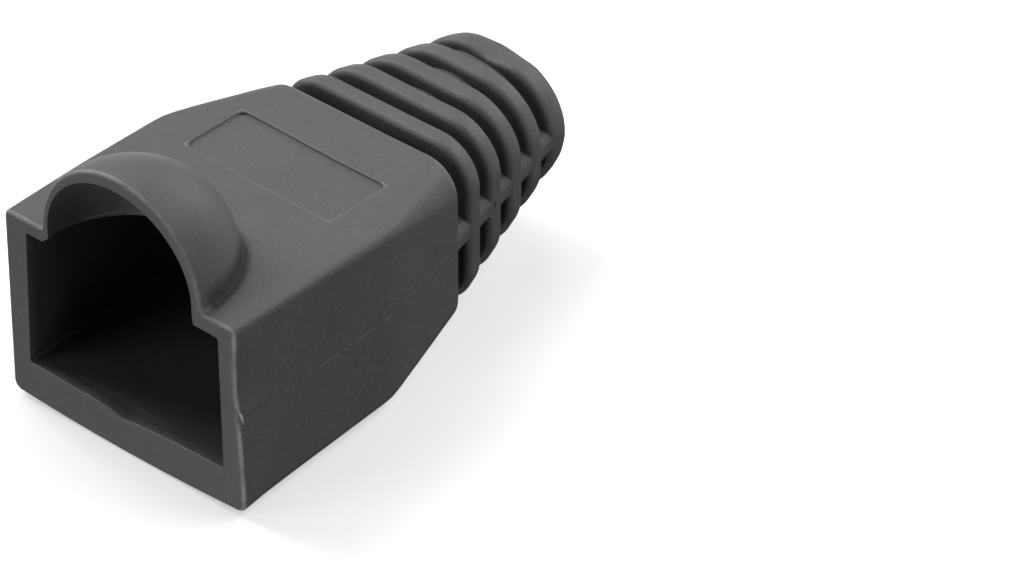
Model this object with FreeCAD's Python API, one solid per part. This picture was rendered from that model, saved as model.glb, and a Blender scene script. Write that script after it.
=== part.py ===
import FreeCAD, Part
import os
from math import sqrt, pi

# RJ45 strain relief boot: one moulded piece of flexible PVC.
# Frame: X across the width, Y along the length from the mouth rim (Y = 0)
# to the cable end, Z up from the flat underside (Z = 0). Millimetres.

V = FreeCAD.Vector

# ---------------------------------------------------------------- dimensions
LENGTH = 26.40           # mouth rim to the face of the end ring

# outer body
HALF_W_TOP = 6.92        # half width of the mouth rim at the top
HALF_W_BOT = 7.13        # half width of the mouth rim at the bottom (slight splay)
HALF_W = 7.0             # half width where the straight part ends
HEIGHT = 10.19           # underside to top at the mouth
TOP_SLOPE = 0.048        # the top falls this much per millimetre of length
WAIST_Y = 10.3           # where the sides turn in towards the cable end
WAIST_BLEND = 0.95       # length each side of that turn over which it is eased
PLAN_SLOPE = 0.190       # how fast each side closes in behind the waist
REAR_Y = 16.25           # rear end of the solid-sided body
REAR_LIFT = 0.20         # rise of the underside at REAR_Y
R_MOUTH_TOP = 0.32       # long-edge radii, top and bottom, at the mouth,
R_MOUTH_BOT = 0.50
R_WAIST_TOP = 0.44       # at the waist
R_WAIST_BOT = 0.62
R_REAR = 1.85            # and at the rear of the body

# ribbed tail
TAIL_TOP = 8.66          # top of the tail section at the end ring
TAIL_BOT = 1.66          # underside of the tail section at the end ring
R_RIB_TOP = 1.90         # corner size at the front of the tail: upper
R_RIB_BOT = 2.20         # and lower corners, growing until the end ring is an oval
OVAL_X, OVAL_Z = 3.80, 3.40    # corner width and height at the end ring
OVAL_RATE = 1.4          # how early the corners grow
# end ring: (Y, growth of the half width, inset of top and bottom)
RING = [(24.76, 0.0, 0.0), (25.55, 0.06, 0.02), (25.95, 0.05, 0.07), (26.22, -0.04, 0.19), (26.40, -0.20, 0.36)]
SLOTS = [(16.25, 17.12), (18.26, 19.03), (20.19, 20.92), (22.12, 22.85), (24.02, 24.76)]
RIB_EDGE = 0.30          # rounding of the rib edges
AXIS_X, AXIS_Z = -0.10, 5.04   # the cable axis
CORE_R = 3.37            # radius of the sleeve left at the bottom of the slots
BORE_R = 3.02            # cable bore
BORE_EDGE = 0.10         # rounding of the bore's mouth
WEB_Z0, WEB_Z1 = 4.44, 5.78    # side webs that tie the ribs together
WEB_RISE = 0.013         # the webs climb this much per millimetre of length
WEB_INSET = 0.012        # they lie almost flush with the rib tops
WEB_EDGE = 0.50          # rounding of their long edges

# latch hood: an ellipsoid cut off by the plane of the mouth
HOOD_C = (0.19, 0.35, 10.12)
HOOD_R = (4.77, 5.45, 4.98)
HOOD_IN_C = (0.14, 0.30, 10.33)
HOOD_IN_R = (4.34, 4.85, 4.12)
# the hood's opening through the ceiling: (Z, centre X, radius along X, radius along Y)
THROAT = [(8.80, -0.08, 4.74, 5.02), (9.42, -0.08, 4.60, 4.95), (9.82, 0.14, 4.34, 4.86), (10.33, 0.14, 4.34, 4.85)]
HOOD_ROOT = 0.20         # fillet where the hood rises from the top

# plug cavity: its outline at the mouth, (X, Z) from the lower left, and its rear end
CAV_MOUTH = [(-5.92, 2.06), (5.94, 2.06), (5.92, 9.30), (-5.60, 9.45)]
CAV_WAIST = [(-5.88, 2.06), (5.90, 2.06), (5.88, 8.92), (-5.70, 8.98)]
CAV_R = 0.14
CAV_DEPTH = 14.0
CAV_REAR_HALF_W = 5.05
CAV_REAR_BOT, CAV_REAR_TOP = 2.16, 8.50
FUNNEL_R = 3.55          # lead-in from the cavity into the cable bore
FUNNEL_L = 1.2
# upper edge of the mouth's lower lip, (X, Z): it dips a little left of the middle
LIP = [(-5.3, 2.06), (-3.2, 1.985), (-1.35, 1.925), (-0.85, 1.85), (-0.30, 1.715), (0.5, 1.79), (1.95, 1.945), (3.9, 2.02), (5.3, 2.06)]
LIP_DEPTH = 0.75

# label panel: a shallow recess with rounded corners
PANEL_Y0, PANEL_Y1 = 9.08, 12.95
PANEL_HALF_W = 4.38
PANEL_R = 0.45
PANEL_DEPTH = 0.14
PANEL_EDGE = 0.10        # rounding of the recess's upper edge

# mould parting ridge along both flanks
PART_Z = 5.12
RIDGE_H = 0.022
RIDGE_W = 0.11

# flash left on the parting line at the right of the mouth: (X, Z) of its outline
TAB = [(6.60, 6.75), (6.80, 6.62), (6.86, 6.15), (6.98, 5.80), (7.27, 5.43), (7.25, 5.36), (6.93, 5.10), (6.60, 5.05)]
TAB_Y = 0.55
# moulding flaws on the right of the second rib: a nick, (X, Y, Z) and its
# radii, and two small beads, (X, Y, Z) and their radius
NICK = ((5.262, 19.495, 5.15), (0.10, 0.10, 0.25))
BEADS = [((5.235, 19.14, 4.72), 0.10), ((5.215, 19.60, 4.70), 0.08)]
UNDERSIDE_SKIM = 0.004   # skimmed off below the flat underside

RIM_EDGE = 0.19          # rounding of the outer edge of the mouth rim
RIM_IN_EDGE = 0.08       # and of its inner edge


# ------------------------------------------------------------------- helpers
def section(y, hb, ht, zb, zt, rb, rt, out=0.0):
    """Closed wire of a rounded four-sided section at Y = y.

    hb, ht: half width at the bottom and at the top; zb, zt: bottom and top;
    rb, rt: corner radii; out: how far the outline is moved outward."""
    hb, ht, zb, zt, rb, rt = hb + out, ht + out, zb - out, zt + out, rb + out, rt + out
    return rounded(y, [((-hb, zb), rb), ((hb, zb), rb), ((ht, zt), rt), ((-ht, zt), rt)])


def rounded(y, corners):
    """Closed wire at Y = y through four (X, Z) corners, each with its own radius."""
    arcs = []
    for i in range(4):
        (px, pz), r = corners[i]
        (ax, az), _ = corners[i - 1]
        (bx, bz), _ = corners[(i + 1) % 4]
        la, lb = sqrt((ax - px) ** 2 + (az - pz) ** 2), sqrt((bx - px) ** 2 + (bz - pz) ** 2)
        ux, uz, vx, vz = (ax - px) / la, (az - pz) / la, (bx - px) / lb, (bz - pz) / lb
        cos_t = ux * vx + uz * vz
        half = sqrt((1 - cos_t) / 2.0)            # sin of half the corner angle
        tan_half = half / sqrt((1 + cos_t) / 2.0)
        t = r / tan_half
        mx, mz = ux + vx, uz + vz
        ml = sqrt(mx * mx + mz * mz)
        mx, mz = mx / ml, mz / ml
        cx, cz = px + mx * r / half, pz + mz * r / half
        arcs.append((V(px + ux * t, y, pz + uz * t),
                     V(cx - mx * r, y, cz - mz * r),
                     V(px + vx * t, y, pz + vz * t)))
    edges = []
    for i in range(4):
        a, m, b = arcs[i]
        edges.append(Part.Arc(a, m, b).toShape())
        edges.append(Part.LineSegment(b, arcs[(i + 1) % 4][0]).toShape())
    return Part.Wire(edges)


def lerp(a, b, s):
    return a + (b - a) * s


def half_width(y):
    """Half width of the outside behind the mouth, eased through the waist."""
    d = y - WAIST_Y
    if d <= -WAIST_BLEND:
        return HALF_W
    if d >= WAIST_BLEND:
        return HALF_W - PLAN_SLOPE * d
    return HALF_W - PLAN_SLOPE * (d + WAIST_BLEND) ** 2 / (4 * WAIST_BLEND)


def top_z(y):
    return HEIGHT - TOP_SLOPE * y


def body_section(y, out=0.0, sink=0.0):
    if y <= WAIST_Y:
        s = y / WAIST_Y
        f = max(0.0, 1 - y / (WAIST_Y - WAIST_BLEND))
        hb = half_width(y) + (HALF_W_BOT - HALF_W) * f
        ht = half_width(y) + (HALF_W_TOP - HALF_W) * f
        g = min(1.0, y / 1.5)
        return section(y, hb, ht, -sink, top_z(y),
                       lerp(R_MOUTH_BOT, R_WAIST_BOT, g), lerp(R_MOUTH_TOP, R_WAIST_TOP, s), out)
    s = (y - WAIST_Y) / (REAR_Y - WAIST_Y)
    w = half_width(y)
    return section(y, w, w, REAR_LIFT * s - sink * (1 - s), top_z(y),
                   lerp(R_WAIST_BOT, R_REAR, s), lerp(R_WAIST_TOP, R_REAR, s), out)


def tail_section(y, grow=0.0, inset=0.0):
    """Rounded rectangle at Y = y whose corners are quarter ellipses."""
    s = (y - REAR_Y) / (LENGTH - REAR_Y)
    g = 1 - max(0.0, 1 - s) ** OVAL_RATE
    w = half_width(y) + grow
    zb, zt = lerp(REAR_LIFT, TAIL_BOT, s) + inset, lerp(top_z(REAR_Y), TAIL_TOP, s) - inset
    half = 0.5 * (zt - zb) - 0.03
    tb, tt = min(half, lerp(R_RIB_BOT, OVAL_Z, g)), min(half, lerp(R_RIB_TOP, OVAL_Z, g))
    xb, xt = min(w - 0.1, lerp(R_RIB_BOT, OVAL_X, g)), min(w - 0.1, lerp(R_RIB_TOP, OVAL_X, g))
    corners = [[(-w, zb + tb), (-w, zb), (-w + xb, zb)], [(w - xb, zb), (w, zb), (w, zb + tb)],
               [(w, zt - tt), (w, zt), (w - xt, zt)], [(-w + xt, zt), (-w, zt), (-w, zt - tt)]]
    edges = []
    for i in range(4):
        poles = [V(x, y, z) for x, z in corners[i]]
        arc = Part.BezierCurve()
        arc.setPoles(poles)
        arc.setWeight(2, sqrt(0.5))
        nxt = corners[(i + 1) % 4][0]
        edges += [arc.toShape(), Part.LineSegment(poles[2], V(nxt[0], y, nxt[1])).toShape()]
    return Part.Wire(edges)


def loft(wires):
    return Part.makeLoft(wires, True, True)


def ellipsoid(c, r):
    ball = Part.makeSphere(1.0)
    ball.rotate(V(0, 0, 0), V(0, 0, 1), 90)
    m = FreeCAD.Matrix()
    m.scale(V(*r))
    ball = ball.transformGeometry(m)
    ball.translate(V(*c))
    return ball


def loop_edges(shape, y, tol=1e-4):
    """Edges of a shape that lie wholly in the plane Y = y."""
    return [e for e in shape.Edges
            if abs(e.BoundBox.YMin - y) < tol and abs(e.BoundBox.YMax - y) < tol]


def ellipse_wire(r, c, z):
    """Horizontal ellipse of radii r[0] along X and r[1] along Y at height z."""
    ring = Part.Circle(V(0, 0, 0), V(0, 0, 1), 1.0).toShape()
    m = FreeCAD.Matrix()
    m.scale(V(r[0], r[1], 1.0))
    ring = ring.transformGeometry(m)
    ring.translate(V(c[0], c[1], z))
    return Part.Wire([ring])


# ---------------------------------------------------------------- outer body
body_y = [0.0, 1.5, WAIST_Y - WAIST_BLEND] + \
         [WAIST_Y - WAIST_BLEND + WAIST_BLEND * k / 4.0 for k in range(1, 8)] + \
         [WAIST_Y + WAIST_BLEND, REAR_Y]
body = loft([body_section(y, 0.0, UNDERSIDE_SKIM) for y in body_y])
body = body.cut(Part.makeBox(20, 40, 5, V(-10, -5, -5)))
body = body.makeFillet(RIB_EDGE, loop_edges(body, REAR_Y))

hood = ellipsoid(HOOD_C, HOOD_R).common(Part.makeBox(20, 12, 14, V(-10, 0, 4)))
body = body.fuse(hood).removeSplitter()
root = []
for e in body.Edges:
    bb = e.BoundBox
    mid = e.valueAt(0.5 * (e.FirstParameter + e.LastParameter))
    if bb.ZMin > 9.5 and bb.ZMax < 10.12 and abs(mid.x) < 5.2 and 0.2 < mid.y < 6.2 and bb.YMax > 0.3:
        root.append(e)
body = body.makeFillet(HOOD_ROOT, root)
body = body.makeFillet(RIM_EDGE, loop_edges(body, 0.0))

# --------------------------------------------------------------- ribbed tail
pieces = []
rib_y = [(SLOTS[i][1], SLOTS[i + 1][0]) for i in range(len(SLOTS) - 1)]
for y0, y1 in rib_y:
    rib = loft([tail_section(y0), tail_section(y1)])
    rib = rib.makeFillet(RIB_EDGE, loop_edges(rib, y0) + loop_edges(rib, y1))
    pieces.append(rib)
ring = loft([tail_section(*c) for c in RING])
ring = ring.makeFillet(RIB_EDGE, loop_edges(ring, SLOTS[-1][1]))
pieces.append(ring)

core = Part.makeCylinder(CORE_R, SLOTS[-1][1] + 0.4 - (REAR_Y - 1.0), V(AXIS_X, REAR_Y - 1.0, AXIS_Z), V(0, 1, 0))
pieces.append(core)

y0, y1 = REAR_Y - 0.6, SLOTS[-1][1] + 0.5
strip = loft([tail_section(y0, -WEB_INSET), tail_section(y1, -WEB_INSET)])
lift = WEB_RISE * (y1 - y0)
slab_face = Part.Face(Part.makePolygon([
    V(-8, y0, WEB_Z0), V(-8, y1, WEB_Z0 + lift), V(-8, y1, WEB_Z1 + lift), V(-8, y0, WEB_Z1), V(-8, y0, WEB_Z0)]))
web = strip.common(slab_face.extrude(V(16, 0, 0)))
long_edges = [e for e in web.Edges if e.Length > 0.8 * (y1 - y0)
              and min(abs(v.Point.x) for v in e.Vertexes) > 3.0]
web = web.makeFillet(WEB_EDGE, long_edges)
pieces.append(web)

boot = body.fuse(pieces)

# ------------------------------------------------------- mould parting ridge
ridge_y = [y for y in body_y if y < REAR_Y] + [REAR_Y - RIB_EDGE]
skin = loft([body_section(y, RIDGE_H) for y in ridge_y])
band = Part.makeBox(20, REAR_Y - RIB_EDGE - 0.16, RIDGE_W, V(-10, 0.16, PART_Z - RIDGE_W / 2))
boot = boot.fuse(skin.common(band))

# ------------------------------------------------- flash tab beside the mouth
tip = [V(x, 0.03, z) for x, z in TAB]
root_x = half_width(TAB_Y) - 0.25
tail = [V(root_x + 0.1 * (x - 6.6), TAB_Y, z) for x, z in TAB]
boot = boot.fuse(loft([Part.makePolygon(tip + tip[:1]), Part.makePolygon(tail + tail[:1])]))

# --------------------------------------------------------------- plug cavity
rear = section(CAV_DEPTH, CAV_REAR_HALF_W, CAV_REAR_HALF_W, CAV_REAR_BOT, CAV_REAR_TOP, 0.8, 0.8)
waist = rounded(WAIST_Y - 0.6, [(c, CAV_R) for c in CAV_WAIST])
k = 1.0 / (WAIST_Y - 0.6)
mouth = rounded(-1.0, [((a[0] + k * (a[0] - b[0]), a[1] + k * (a[1] - b[1])), CAV_R) for a, b in zip(CAV_MOUTH, CAV_WAIST)])
boot = boot.cut(loft([mouth, waist, rear]))

curve = Part.BSplineCurve()
curve.interpolate([V(x, -1, z) for x, z in LIP], InitialTangent=V(1, 0, 0), FinalTangent=V(1, 0, 0))
a, b = LIP[0], LIP[-1]
dip = Part.Wire([curve.toShape(), Part.LineSegment(V(b[0], -1, b[1]), V(b[0], -1, 2.5)).toShape(),
                 Part.LineSegment(V(b[0], -1, 2.5), V(a[0], -1, 2.5)).toShape(),
                 Part.LineSegment(V(a[0], -1, 2.5), V(a[0], -1, a[1])).toShape()])
boot = boot.cut(Part.Face(dip).extrude(V(0, 1 + LIP_DEPTH, 0)))

# the rim's inner edge, around the walls and the lip
boot = boot.removeSplitter()
rim_face = max([f for f in boot.Faces if all(abs(v.Point.y) < 1e-4 for v in f.Vertexes)], key=lambda f: f.Area)
inner = [e for w in rim_face.Wires if not w.isSame(rim_face.OuterWire) for e in w.Edges]
boot = boot.makeFillet(RIM_IN_EDGE, inner)

# ---------------------------------------------------------- hood, inner side
hood_in = ellipsoid(HOOD_IN_C, HOOD_IN_R).common(Part.makeBox(20, 13, 8, V(-10, -1, HOOD_IN_C[2] - 0.02)))
throat = loft([ellipse_wire((rx, ry), (cx, HOOD_IN_C[1]), z) for z, cx, rx, ry in THROAT])
boot = boot.cut(hood_in).cut(throat)

# ---------------------------------------------------------------- cable bore
bore = Part.makeCylinder(BORE_R, LENGTH, V(AXIS_X, CAV_DEPTH - 1, AXIS_Z), V(0, 1, 0))
funnel = Part.makeCone(FUNNEL_R, BORE_R, FUNNEL_L, V(AXIS_X, CAV_DEPTH - 0.01, AXIS_Z), V(0, 1, 0))
boot = boot.cut(bore).cut(funnel)
r, e, k = BORE_R, BORE_EDGE, BORE_EDGE * (1 - sqrt(0.5))
P = [V(AXIS_X + a, b, AXIS_Z) for a, b in [
    (r - 0.3, LENGTH - e), (r, LENGTH - e), (r + k, LENGTH - k), (r + e, LENGTH), (r + e, LENGTH + 0.1), (r - 0.3, LENGTH + 0.1)]]
lip = Part.Wire([Part.LineSegment(P[0], P[1]).toShape(), Part.Arc(P[1], P[2], P[3]).toShape(),
                 Part.LineSegment(P[3], P[4]).toShape(), Part.LineSegment(P[4], P[5]).toShape(),
                 Part.LineSegment(P[5], P[0]).toShape()])
boot = boot.cut(Part.Face(lip).revolve(V(AXIS_X, 0, AXIS_Z), V(0, 1, 0), 360))

# --------------------------------------------------------------- label panel
def panel_wire(z):
    r = PANEL_R
    x0, x1, a, b = -PANEL_HALF_W, PANEL_HALF_W, PANEL_Y0, PANEL_Y1
    k = r * (1 - sqrt(0.5))
    pts = [(x0 + r, a), (x1 - r, a), (x1 - k, a + k), (x1, a + r), (x1, b - r), (x1 - k, b - k),
           (x1 - r, b), (x0 + r, b), (x0 + k, b - k), (x0, b - r), (x0, a + r), (x0 + k, a + k)]
    P = [V(x, y, z) for x, y in pts]
    return Part.Wire([Part.LineSegment(P[0], P[1]).toShape(), Part.Arc(P[1], P[2], P[3]).toShape(),
                      Part.LineSegment(P[3], P[4]).toShape(), Part.Arc(P[4], P[5], P[6]).toShape(),
                      Part.LineSegment(P[6], P[7]).toShape(), Part.Arc(P[7], P[8], P[9]).toShape(),
                      Part.LineSegment(P[9], P[10]).toShape(), Part.Arc(P[10], P[11], P[0]).toShape()])


pocket = Part.Face(panel_wire(8.0)).extrude(V(0, 0, 4))
floor_cut = Part.Face(Part.makePolygon([
    V(-8, PANEL_Y0 - 1, top_z(PANEL_Y0 - 1) - PANEL_DEPTH), V(-8, PANEL_Y1 + 1, top_z(PANEL_Y1 + 1) - PANEL_DEPTH),
    V(-8, PANEL_Y1 + 1, 12), V(-8, PANEL_Y0 - 1, 12), V(-8, PANEL_Y0 - 1, top_z(PANEL_Y0 - 1) - PANEL_DEPTH)
])).extrude(V(16, 0, 0))
boot = boot.cut(pocket.common(floor_cut))
upper = [e for e in boot.Edges if all(
    PANEL_Y0 - 1e-3 < v.Point.y < PANEL_Y1 + 1e-3 and abs(v.Point.x) < PANEL_HALF_W + 1e-3
    and abs(v.Point.z - top_z(v.Point.y)) < 0.02 for v in e.Vertexes)]
boot = boot.makeFillet(PANEL_EDGE, upper)

# ------------------------------------------------- flaws on the second rib
boot = boot.cut(ellipsoid(*NICK))
for centre, radius in BEADS:
    boot = boot.fuse(Part.makeSphere(radius, V(*centre)))

boot = boot.removeSplitter()
if boot.ShapeType != "Solid":
    boot = boot.Solids[0]

print("solids", len(boot.Solids), "valid", boot.isValid(), "volume mm3", round(boot.Volume, 1))
bb = boot.BoundBox
print("box", [round(v, 3) for v in (bb.XMin, bb.YMin, bb.ZMin, bb.XMax, bb.YMax, bb.ZMax)])
print("centre of mass", [round(v, 2) for v in boot.CenterOfMass])

os.makedirs("parts", exist_ok=True)
boot.exportStep("parts/boot.step")
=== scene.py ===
import bpy, bmesh, math
from mathutils import Vector, Matrix, Euler


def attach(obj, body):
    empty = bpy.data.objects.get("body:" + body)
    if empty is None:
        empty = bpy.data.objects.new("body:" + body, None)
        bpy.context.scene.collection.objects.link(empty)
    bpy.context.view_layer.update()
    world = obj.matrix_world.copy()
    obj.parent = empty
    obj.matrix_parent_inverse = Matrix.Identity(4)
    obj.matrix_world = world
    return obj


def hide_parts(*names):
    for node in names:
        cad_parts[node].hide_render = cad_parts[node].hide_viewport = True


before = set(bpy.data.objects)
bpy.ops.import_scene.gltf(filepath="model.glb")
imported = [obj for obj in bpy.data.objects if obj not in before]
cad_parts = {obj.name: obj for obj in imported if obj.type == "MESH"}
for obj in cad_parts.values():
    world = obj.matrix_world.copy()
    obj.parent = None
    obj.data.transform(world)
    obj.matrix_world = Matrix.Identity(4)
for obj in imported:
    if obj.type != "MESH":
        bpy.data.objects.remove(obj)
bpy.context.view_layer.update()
scene = bpy.context.scene


# ------------------------------------------------------------------ camera
cam_data = bpy.data.cameras.new("camera")
cam = bpy.data.objects.new("camera", cam_data)
scene.collection.objects.link(cam)
cam_data.sensor_width = 36.0
cam_data.lens = 4800.35 / 1024 * 36.0
cam_data.clip_start, cam_data.clip_end = 0.01, 10.0
cam.location = (0.12043806, -0.11783517, 0.13656697)
cam.rotation_mode = "XYZ"
cam.rotation_euler = (0.92160089, -0.00235585, 0.69525905)
scene.camera = cam


# --------------------------------------------------------------- materials
def nodes_of(name):
    mat = bpy.data.materials.new(name)
    mat.use_nodes = True
    nt = mat.node_tree
    nt.nodes.clear()
    out = nt.nodes.new("ShaderNodeOutputMaterial")
    bsdf = nt.nodes.new("ShaderNodeBsdfPrincipled")
    nt.links.new(bsdf.outputs[0], out.inputs[0])
    return mat, nt, bsdf


def node(nt, kind, **values):
    n = nt.nodes.new(kind)
    for k, v in values.items():
        if k in n.inputs.keys():
            n.inputs[k].default_value = v
        else:
            setattr(n, k, v)
    return n


def ramp(nt, stops):
    n = nt.nodes.new("ShaderNodeValToRGB")
    e = n.color_ramp.elements
    while len(e) < len(stops):
        e.new(0.5)
    for i, (pos, c) in enumerate(stops):
        e[i].position = pos
        e[i].color = (c, c, c, 1) if isinstance(c, float) else (*c, 1)
    return n


RIM_PALE = 0.27
RIM_SOFT = 0.86
CREASE = 0.38
PANEL_HALF, PANEL_MID, PANEL_LONG = 0.00438, 0.011015, 0.001935


def pvc():
    """Dark grey moulded flexible PVC: fine spark-eroded grain, faint flow clouding; painted highlights along edges,
    painted shade in the hood crease and inside the mouth.
    """
    mat, nt, bsdf = nodes_of("grey_pvc")
    co = nt.nodes.new("ShaderNodeTexCoord")
    L = nt.links.new

    cloud = node(nt, "ShaderNodeTexNoise", Scale=260.0, Detail=3.0, Roughness=0.55)
    L(co.outputs["Object"], cloud.inputs["Vector"])
    speck = node(nt, "ShaderNodeTexNoise", Scale=5200.0, Detail=2.0, Roughness=0.6)
    L(co.outputs["Object"], speck.inputs["Vector"])

    tone = ramp(nt, [(0.30, (0.096, 0.0985, 0.1015)), (0.70, (0.108, 0.109, 0.110))])
    L(cloud.outputs["Fac"], tone.inputs["Fac"])
    dots = ramp(nt, [(0.30, 0.87), (0.70, 1.12)])
    L(speck.outputs["Fac"], dots.inputs["Fac"])
    mul = node(nt, "ShaderNodeMix", data_type="RGBA", blend_type="MULTIPLY")
    mul.inputs[0].default_value = 1.0
    L(tone.outputs["Color"], mul.inputs[6])
    L(dots.outputs["Color"], mul.inputs[7])

    geo = nt.nodes.new("ShaderNodeNewGeometry")
    N = nt.nodes.new("ShaderNodeSeparateXYZ")
    L(geo.outputs["Normal"], N.inputs[0])
    P = nt.nodes.new("ShaderNodeSeparateXYZ")
    L(co.outputs["Object"], P.inputs[0])
    NX, NY, NZ = N.outputs[0], N.outputs[1], N.outputs[2]
    PX, PY, PZ = P.outputs[0], P.outputs[1], P.outputs[2]

    def calc(op, a, b=None, c=None):
        n = nt.nodes.new("ShaderNodeMath")
        n.operation = op
        for k, v in enumerate((a, b, c)):
            if v is None:
                continue
            if isinstance(v, (int, float)):
                n.inputs[k].default_value = v
            else:
                L(v, n.inputs[k])
        return n.outputs[0]

    def step(value, lo, hi, a=0.0, b=1.0):
        """Smooth step from a at lo to b at hi."""
        n = nt.nodes.new("ShaderNodeMapRange")
        n.interpolation_type = "SMOOTHSTEP"
        for k, v in (("From Min", lo), ("From Max", hi), ("To Min", a), ("To Max", b)):
            n.inputs[k].default_value = v
        L(value, n.inputs["Value"])
        return n.outputs[0]

    def times(*parts):
        out = parts[0]
        for q in parts[1:]:
            out = calc("MULTIPLY", out, q)
        return out

    patch = node(nt, "ShaderNodeTexNoise", Scale=900.0, Detail=2.0, Roughness=0.6)
    L(co.outputs["Object"], patch.inputs["Vector"])
    dash = node(nt, "ShaderNodeTexNoise", Scale=2400.0, Detail=1.0, Roughness=0.5)
    L(co.outputs["Object"], dash.inputs["Vector"])
    uneven = step(patch.outputs["Fac"], 0.30, 0.62, 0.55, 1.0)

    # painted highlight, partly a paler rubbed edge and fine flash, around the outside of the mouth rim: only
    # # on the rounding, where the surface turns from the front to the outside
    arc = ramp(nt, [(0.06, 0.0), (0.40, 1.0), (0.78, 1.0), (0.985, 0.0)])
    L(calc("ABSOLUTE", NY), arc.inputs["Fac"])
    out_x = calc("MULTIPLY", NX, PX)
    out_z = calc("MULTIPLY", NZ, calc("SUBTRACT", PZ, 0.0065))
    outward = step(calc("ADD", out_x, out_z), -0.0002, 0.0004)
    rim = times(arc.outputs["Color"], step(PY, 0.00018, 0.00024, 1.0, 0.0), outward, uneven)
    # the painted highlight is brighter down the right-hand edge
    rim = times(rim, step(PX, 0.0045, 0.0066, RIM_SOFT, 1.0))

    # painted highlight along the lower lip's upper edge, more faintly
    lip = times(arc.outputs["Color"], step(PY, 0.00010, 0.00016, 1.0, 0.0), step(NZ, 0.1, 0.4),
                step(PZ, 0.0022, 0.0025, 1.0, 0.0), uneven)

    # the parting line down the flanks shows as a faint broken pale line
    seam = times(step(calc("ABSOLUTE", calc("SUBTRACT", PZ, 0.00512)), 0.00003, 0.00007, 1.0, 0.0),
                 step(calc("ABSOLUTE", PX), 0.0050, 0.0052), step(PY, 0.0004, 0.0006),
                 step(PY, 0.0160, 0.0162, 1.0, 0.0), step(out_x, 0.001, 0.003),
                 step(dash.outputs["Fac"], 0.40, 0.58))

    # painted highlight along the near and right-hand edges of the label recess, painted lightening of its shaded far
    # walls, and painted shade just inside its far edges
    dx = calc("SUBTRACT", calc("ABSOLUTE", PX), PANEL_HALF)
    dy = calc("SUBTRACT", calc("ABSOLUTE", calc("SUBTRACT", PY, PANEL_MID)), PANEL_LONG)
    d = calc("MAXIMUM", dx, dy)
    high = step(PZ, 0.0088, 0.0090)
    side = calc("SUBTRACT", calc("MULTIPLY", PX, 0.45), calc("SUBTRACT", PY, PANEL_MID))
    lit = step(side, -0.0001, 0.0004)
    # painted shade just inside the far edges of the recess
    recess_painted_shade = times(step(d, -0.00036, -0.00012), step(d, -0.00001, 0.00008, 1.0, 0.0), calc("SUBTRACT", 1.0, lit), high)
    panel = times(step(d, -0.00019, -0.00004), step(d, 0.00002, 0.00018, 1.0, 0.0), lit, high, uneven)
    # painted lightening of the far walls of the recess, which lie in shade
    wall = times(step(d, -0.00008, -0.00001), step(d, 0.00002, 0.00010, 1.0, 0.0), calc("SUBTRACT", 1.0, lit), high)
    panel = calc("ADD", calc("MULTIPLY", panel, 0.32), calc("MULTIPLY", wall, 0.55))

    # painted highlight along the rear edge of the square part
    rear = times(step(NY, 0.15, 0.5), step(NY, 0.6, 0.95, 1.0, 0.0), step(NZ, 0.2, 0.5),
                 step(PY, 0.0158, 0.0160), step(PY, 0.0163, 0.0164, 1.0, 0.0))

    pale = node(nt, "ShaderNodeMix", data_type="RGBA", blend_type="MIX")
    amount = calc("MAXIMUM", rim, calc("MAXIMUM", calc("MAXIMUM", panel, calc("MULTIPLY", rear, 0.4)),
                                       calc("MAXIMUM", calc("MULTIPLY", lip, 0.45), calc("MULTIPLY", seam, 0.21))))
    L(amount, pale.inputs[0])
    L(mul.outputs[2], pale.inputs[6])
    tint = nt.nodes.new("ShaderNodeCombineColor")
    # pale tone of the painted highlight, lighter still down the right-hand edge
    value = calc("ADD", RIM_PALE, step(PX, 0.0066, 0.0069, 0.0, 0.13))
    for k in range(3):
        L(value, tint.inputs[k])
    L(tint.outputs[0], pale.inputs[7])

    # painted shade in the crease where the hood rises from the top; the same mask lowers the specular level there
    ex = calc("DIVIDE", calc("SUBTRACT", PX, 0.00019), 0.00477)
    ey = calc("DIVIDE", calc("SUBTRACT", PY, 0.00035), 0.00545)
    q = calc("SQRT", calc("ADD", calc("MULTIPLY", ex, ex), calc("MULTIPLY", ey, ey)))
    crease = times(step(q, 0.968, 0.998), step(q, 1.030, 1.11, 1.0, 0.0), step(PX, 0.0005, 0.0034),
                   step(PZ, 0.0092, 0.0098), step(PY, 0.0002, 0.0009))
    # painted shade on the walls inside the mouth
    inner = times(step(calc("ABSOLUTE", PX), 0.00598, 0.00612, 1.0, 0.0), step(PY, 0.00012, 0.0006),
                  step(PY, 0.0075, 0.0085, 1.0, 0.0), step(PZ, 0.0012, 0.0016), step(PZ, 0.0094, 0.0098, 1.0, 0.0))
    # painted shade: the hood crease, inside the mouth and inside the far edges of the label recess
    shade = times(calc("SUBTRACT", 1.0, calc("MULTIPLY", crease, CREASE)),
                  calc("SUBTRACT", 1.0, calc("MULTIPLY", inner, 0.35)),
                  calc("SUBTRACT", 1.0, calc("MULTIPLY", recess_painted_shade, 0.15)))
    painted_shade_mul = node(nt, "ShaderNodeMix", data_type="RGBA", blend_type="MULTIPLY")
    painted_shade_mul.inputs[0].default_value = 1.0
    L(pale.outputs[2], painted_shade_mul.inputs[6])
    grey = nt.nodes.new("ShaderNodeCombineColor")
    for k in range(3):
        L(shade, grey.inputs[k])
    L(grey.outputs[0], painted_shade_mul.inputs[7])
    L(painted_shade_mul.outputs[2], bsdf.inputs["Base Color"])

    rough = ramp(nt, [(0.25, 0.50), (0.75, 0.60)])
    L(speck.outputs["Fac"], rough.inputs["Fac"])
    L(rough.outputs["Color"], bsdf.inputs["Roughness"])
    bsdf.inputs["IOR"].default_value = 1.5
    L(calc("SUBTRACT", 0.5, calc("MULTIPLY", crease, 0.5)), bsdf.inputs["Specular IOR Level"])

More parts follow.
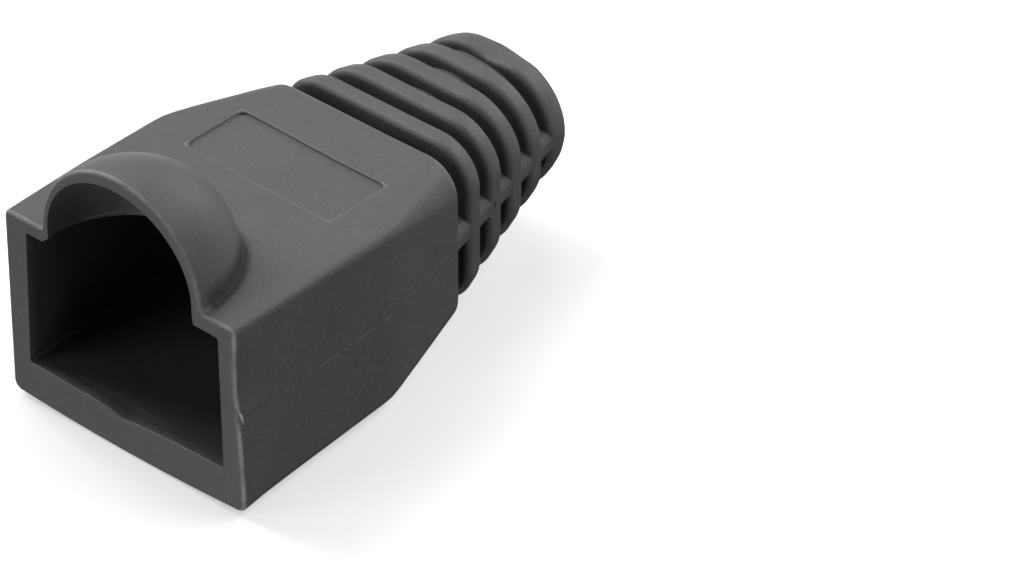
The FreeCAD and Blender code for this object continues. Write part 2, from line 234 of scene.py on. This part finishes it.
    grain = node(nt, "ShaderNodeTexNoise", Scale=3600.0, Detail=3.0, Roughness=0.7)
    L(co.outputs["Object"], grain.inputs["Vector"])
    fine = node(nt, "ShaderNodeBump", Strength=0.55, Distance=0.00002)
    L(grain.outputs["Fac"], fine.inputs["Height"])
    sink = node(nt, "ShaderNodeTexNoise", Scale=420.0, Detail=2.0, Roughness=0.5)
    L(co.outputs["Object"], sink.inputs["Vector"])
    soft = node(nt, "ShaderNodeBump", Strength=0.12, Distance=0.00012)
    L(sink.outputs["Fac"], soft.inputs["Height"])
    L(fine.outputs["Normal"], soft.inputs["Normal"])
    L(soft.outputs["Normal"], bsdf.inputs["Normal"])
    return mat


# -------------------------------------------------------------------- boot
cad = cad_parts["boot"]
src = cad.data
me = bpy.data.meshes.new("boot_moulding")
me.from_pydata([v.co[:] for v in src.vertices], [], [p.vertices[:] for p in src.polygons])


def table(t, rows):
    """Piecewise linear value of t in rows of (t, value)."""
    if t <= rows[0][0]:
        return rows[0][1]
    for (a, va), (b, vb) in zip(rows, rows[1:]):
        if t <= b:
            return va + (vb - va) * (t - a) / (b - a)
    return rows[-1][1]


def soft(t):
    t = min(1.0, max(0.0, t))
    return t * t * (3 - 2 * t)


# small unevenness of the moulding, in millimetres: the right wall flares and
# pinches at the mouth, and the top is a little higher along the left
FLARE = [(0.0, 0.04), (1.2, 0.04), (3.6, 0.01), (4.9, -0.06), (5.15, -0.05), (5.35, 0.0), (5.48, 0.0),
         (5.9, -0.08), (6.6, -0.145), (7.6, -0.12), (9.0, -0.04), (9.8, 0.0), (10.6, 0.0)]
LIFT = [(0.0, 0.02), (2.0, 0.10), (5.0, 0.20), (12.0, 0.22), (15.0, 0.14), (16.3, 0.06), (18.0, 0.06), (20.0, 0.10), (23.0, 0.14), (26.4, 0.12)]
# the lower lip is a little crowned underneath
CROWN = 0.23
# the end ring is a little flatter over its top right
SHOULDER = 0.34
# the flash tab hangs a little
TAB_DROOP = 0.20


def slice_mesh(bm, axis, values, keep):
    """Cut the faces whose centre passes keep() with planes across one axis, so
    that the unevenness bends them smoothly."""
    for value in values:
        faces = [f for f in bm.faces if keep(f.calc_center_median() * 1000.0)]
        geom = set(faces)
        for f in faces:
            geom.update(f.edges)
            geom.update(f.verts)
        point, normal = [0.0] * 3, [0.0] * 3
        point[axis], normal[axis] = value / 1000.0, 1.0
        bmesh.ops.bisect_plane(bm, geom=list(geom), dist=1e-8, plane_co=point, plane_no=normal)


bm = bmesh.new()
bm.from_mesh(me)
bmesh.ops.remove_doubles(bm, verts=bm.verts, dist=2e-8)
slice_mesh(bm, 2, [0.3, 1.2, 2.4, 3.6, 4.3, 4.9, 5.15, 5.35, 5.48, 5.7, 5.9, 6.25, 6.6, 7.1, 7.6, 8.3, 9.0, 9.8],
           lambda c: c.x > 5.9 and c.y < 3.6)
slice_mesh(bm, 1, [0.9, 1.8, 2.7, 3.5], lambda c: c.x > 6.3 and c.y < 6)
slice_mesh(bm, 1, [2.0, 3.5, 5.0, 7.0, 12.0, 13.5, 15.0], lambda c: c.z > 3.9 or c.z < 0.6)
slice_mesh(bm, 0, [-5.5, -4.0, -2.0, 0.0, 1.5], lambda c: c.z > 4.5 and c.y < 17)
slice_mesh(bm, 0, [-6.0, -5.0, -3.5, -2.0, 0.0, 2.0, 3.5, 5.0, 6.0], lambda c: c.z < 2.2 and c.y < 10)
slice_mesh(bm, 2, [0.7, 1.4], lambda c: c.z < 2.2 and c.y < 0.5)
slice_mesh(bm, 1, [23.6, 24.4, 25.2], lambda c: abs(c.x) < 3.2 and c.z > 6.5 and c.y > 22.5)
for v in bm.verts:
    x, y, z = (1000.0 * c for c in v.co)
    if x > 5.98 and y < 3.5:
        v.co.x += 0.001 * table(z, FLARE) * soft((x - 5.98) / 0.7) * (1 - soft(y / 3.5))
    if x < 2.5 and z > 4.0:
        v.co.z += 0.001 * table(y, LIFT) * soft((2.5 - x) / 7.0) * soft((z - 4.0) / 5.0)
    if z < 1.7 and y < 11.0 and abs(x) < 6.6:
        v.co.z -= 0.001 * CROWN * (1 - (x / 6.6) ** 2) * (1 - soft(z / 1.7)) * (1 - soft((y - 1.0) / 10.0))
    phi = math.degrees(math.atan2(z - 5.1, x))
    if y > 23.6 and 50.0 < phi < 118.0 and math.hypot(x, z - 5.1) > 3.1:
        shift = 0.001 * SHOULDER * math.sin(math.radians(180.0 * (phi - 50.0) / 68.0)) ** 2
        shift *= soft((y - 23.6) / 1.6) * soft((math.hypot(x, z - 5.1) - 3.1) / 0.28)
        v.co.x -= shift * math.cos(math.radians(phi))
        v.co.z -= shift * math.sin(math.radians(phi))
    if x > 6.93 and y < 0.8 and 4.9 < z < 5.7:
        v.co.z -= 0.001 * TAB_DROOP * soft((x - 6.93) / 0.34)
bmesh.ops.triangulate(bm, faces=[f for f in bm.faces if len(f.verts) > 3])
bmesh.ops.dissolve_degenerate(bm, edges=bm.edges, dist=1e-8)
bmesh.ops.recalc_face_normals(bm, faces=bm.faces)
for e in bm.edges:
    e.smooth = len(e.link_faces) == 2 and e.calc_face_angle(0.0) < math.radians(24)
for f in bm.faces:
    f.smooth = True
bm.to_mesh(me)
bm.free()
boot = bpy.data.objects.new("boot_moulding", me)
scene.collection.objects.link(boot)
me.materials.append(pvc())
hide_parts("boot")
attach(boot, "root")


# ------------------------------------------------------------------- stage
def plain(name, colour, roughness, glow=0.0):
    mat, nt, bsdf = nodes_of(name)
    bsdf.inputs["Base Color"].default_value = (*colour, 1)
    bsdf.inputs["Roughness"].default_value = roughness
    bsdf.inputs["Emission Color"].default_value = (1, 1, 1, 1)
    bsdf.inputs["Emission Strength"].default_value = glow
    return mat


bm = bmesh.new()
bmesh.ops.create_grid(bm, x_segments=2, y_segments=2, size=1.5)
fl = bpy.data.meshes.new("floor")
bm.to_mesh(fl)
bm.free()
floor = bpy.data.objects.new("floor", fl)
floor.location.z = -0.00026
scene.collection.objects.link(floor)
fl.materials.append(plain("floor_white", (0.86, 0.86, 0.86), 0.9, 0.45))

# the floor only carries the white ground; it throws no light back up
floor.visible_diffuse = False
floor.visible_glossy = False
floor.visible_transmission = False
floor.visible_shadow = False

world = bpy.data.worlds.new("studio")
scene.world = world
world.use_nodes = True
bg = world.node_tree.nodes["Background"]
bg.inputs[0].default_value = (1.0, 1.0, 1.0, 1)
bg.inputs[1].default_value = 0.01


def soft_box(name, place, aim, size, watts, colour=(1, 1, 1)):
    data = bpy.data.lights.new(name, "AREA")
    data.shape = "RECTANGLE"
    data.size, data.size_y = size
    data.energy = watts
    data.color = colour
    o = bpy.data.objects.new(name, data)
    o.location = place
    o.rotation_mode = "QUATERNION"
    o.rotation_quaternion = (Vector(aim) - Vector(place)).to_track_quat("-Z", "Y")
    o.visible_camera = False
    scene.collection.objects.link(o)
    return o


# soft boxes around the boot, 0.6 m off: (degrees round from the mouth towards
# +X, degrees up, watts, colour)
aim = (0.0, 0.012, 0.006)
BOXES = [
    (135, 52, 1.040, (1.004, 1.004, 0.944)),
    (225, 52, 0.806, (0.980, 1.003, 1.027)),
    (270, 52, 1.406, (1.022, 0.985, 1.087)),
    (90, 22, 0.700, (0.988, 1.003, 1.007)),
    (180, 22, 0.960, (1.028, 0.989, 1.021)),
    (270, 22, 1.340, (1.026, 1.001, 0.917)),
    (330, 22, 0.709, (0.925, 1.012, 1.101)),
    (105, -8, 0.297, (1.076, 0.966, 1.117)),
    (165, -8, 0.290, (0.900, 1.040, 0.900)),
    (225, -8, 0.391, (1.007, 0.995, 1.025)),
    (315, -8, 0.441, (1.047, 0.976, 1.103)),
    (0, -40, 1.284, (0.986, 1.007, 0.968)),
]
for n, (az, el, watts, colour) in enumerate(BOXES):
    a, e = math.radians(az), math.radians(el)
    away = Vector((math.cos(e) * math.sin(a), -math.cos(e) * math.cos(a), math.sin(e)))
    soft_box("soft_box_%02d" % n, Vector(aim) + 0.6 * away, aim, (0.30, 0.30), watts, colour)

scene.view_settings.view_transform = "Standard"
